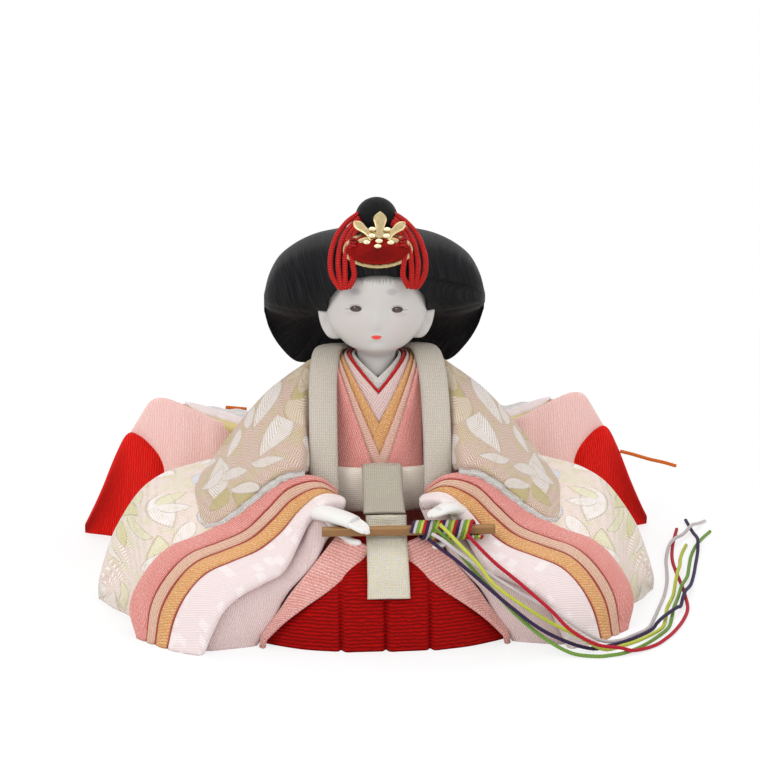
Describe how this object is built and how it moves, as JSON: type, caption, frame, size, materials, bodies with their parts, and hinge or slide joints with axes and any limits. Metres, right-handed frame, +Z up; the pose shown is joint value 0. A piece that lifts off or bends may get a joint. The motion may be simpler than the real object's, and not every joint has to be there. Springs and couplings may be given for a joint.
{
  "type": "hina doll",
  "caption": "Seated court-lady festival doll in layered silk robes, holding a folded fan with trailing cords; the head lifts off and turns.",
  "frame": {"origin": "middle of the underside of the base board", "axes": "+Z up, the doll faces -Y, +X is the viewer's right"},
  "size_m": [0.2557, 0.1798, 0.1519],
  "materials": {
    "board": "plain sanded softwood",
    "straw": "bound straw under paper",
    "skin": "matte shell-white lacquer",
    "hair": "combed silk thread",
    "paper": "white silk crepe",
    "gilt": "bright gilding",
    "scarlet": "red silk cord and pad",
    "red": "ribbed red crepe",
    "coral": "coral crepe",
    "beige": "ribbed rose-beige silk",
    "gold": "gold satin",
    "white": "white figured silk",
    "lining": "pale pink lining silk",
    "blush": "pale pink silk",
    "rose": "rose crepe",
    "brocade": "woven brocade",
    "silver": "silver-white brocade",
    "wood": "light brown varnished ribs",
    "orange": "orange silk cord",
    "purple": "dark purple silk cord",
    "yellow": "yellow-green silk cord",
    "green": "green silk cord"
  },
  "bodies": {
    "root": {"base_board": "board", "body_core": "straw", "jacket_back": "brocade", "train_skirt": "paper", "waist_sash": "silver", "sash_flap": "silver", "sash_end": "silver", "hakama_front": "red", "collar_white": "paper", "collar_red": "red", "collar_blush": "blush", "collar_gold": "gold", "collar_rose": "rose", "collar_coral": "coral", "arm_left": "straw", "hand_left": "skin", "lapel_left": "silver", "white_sleeve_left": "white", "gold_sleeve_left": "gold", "beige_sleeve_left": "beige", "coral_sleeve_left": "coral", "lining_sleeve_left": "lining", "skirt_panel_left": "coral", "jacket_sleeve_left": "brocade", "robe_sleeve_left": "brocade", "robe_tail_left": "rose", "hakama_corner_left": "red", "train_cord_left": "orange", "arm_right": "straw", "hand_right": "skin", "lapel_right": "silver", "white_sleeve_right": "white", "gold_sleeve_right": "gold", "beige_sleeve_right": "beige", "coral_sleeve_right": "coral", "lining_sleeve_right": "lining", "skirt_panel_right": "coral", "jacket_sleeve_right": "brocade", "robe_sleeve_right": "brocade", "robe_tail_right": "rose", "hakama_corner_right": "red", "train_cord_right": "orange"},
    "neck": {"neck_peg": "board"},
    "head": {"head": "skin", "hair_wings": "hair", "hair_bun": "hair", "hair_tail": "hair", "hair_tie": "paper", "crown_plate": "gilt", "crown_pad": "scarlet", "crown_comb": "gilt", "hair_cord_left": "scarlet", "hair_cord_right": "scarlet"},
    "fan": {"fan": "wood", "cord_winding": "scarlet", "cord_red": "red", "cord_purple": "purple", "cord_yellow": "yellow", "cord_white": "white", "cord_green": "green"}
  },
  "joints": [
    {"name": "head_lift", "type": "slide", "parent": "root", "child": "neck", "axis": [0, 0, 1], "range_m": [0, 0.03]},
    {"name": "head_turn", "type": "hinge", "parent": "neck", "child": "head", "pos_m": [0, -0.003, 0.1], "axis": [0, 0, 1], "range_deg": [-10, 10]},
    {"name": "fan_slide", "type": "slide", "parent": "root", "child": "fan", "axis": [1, 0, 0], "range_m": [0, 0.04]}
  ]
}
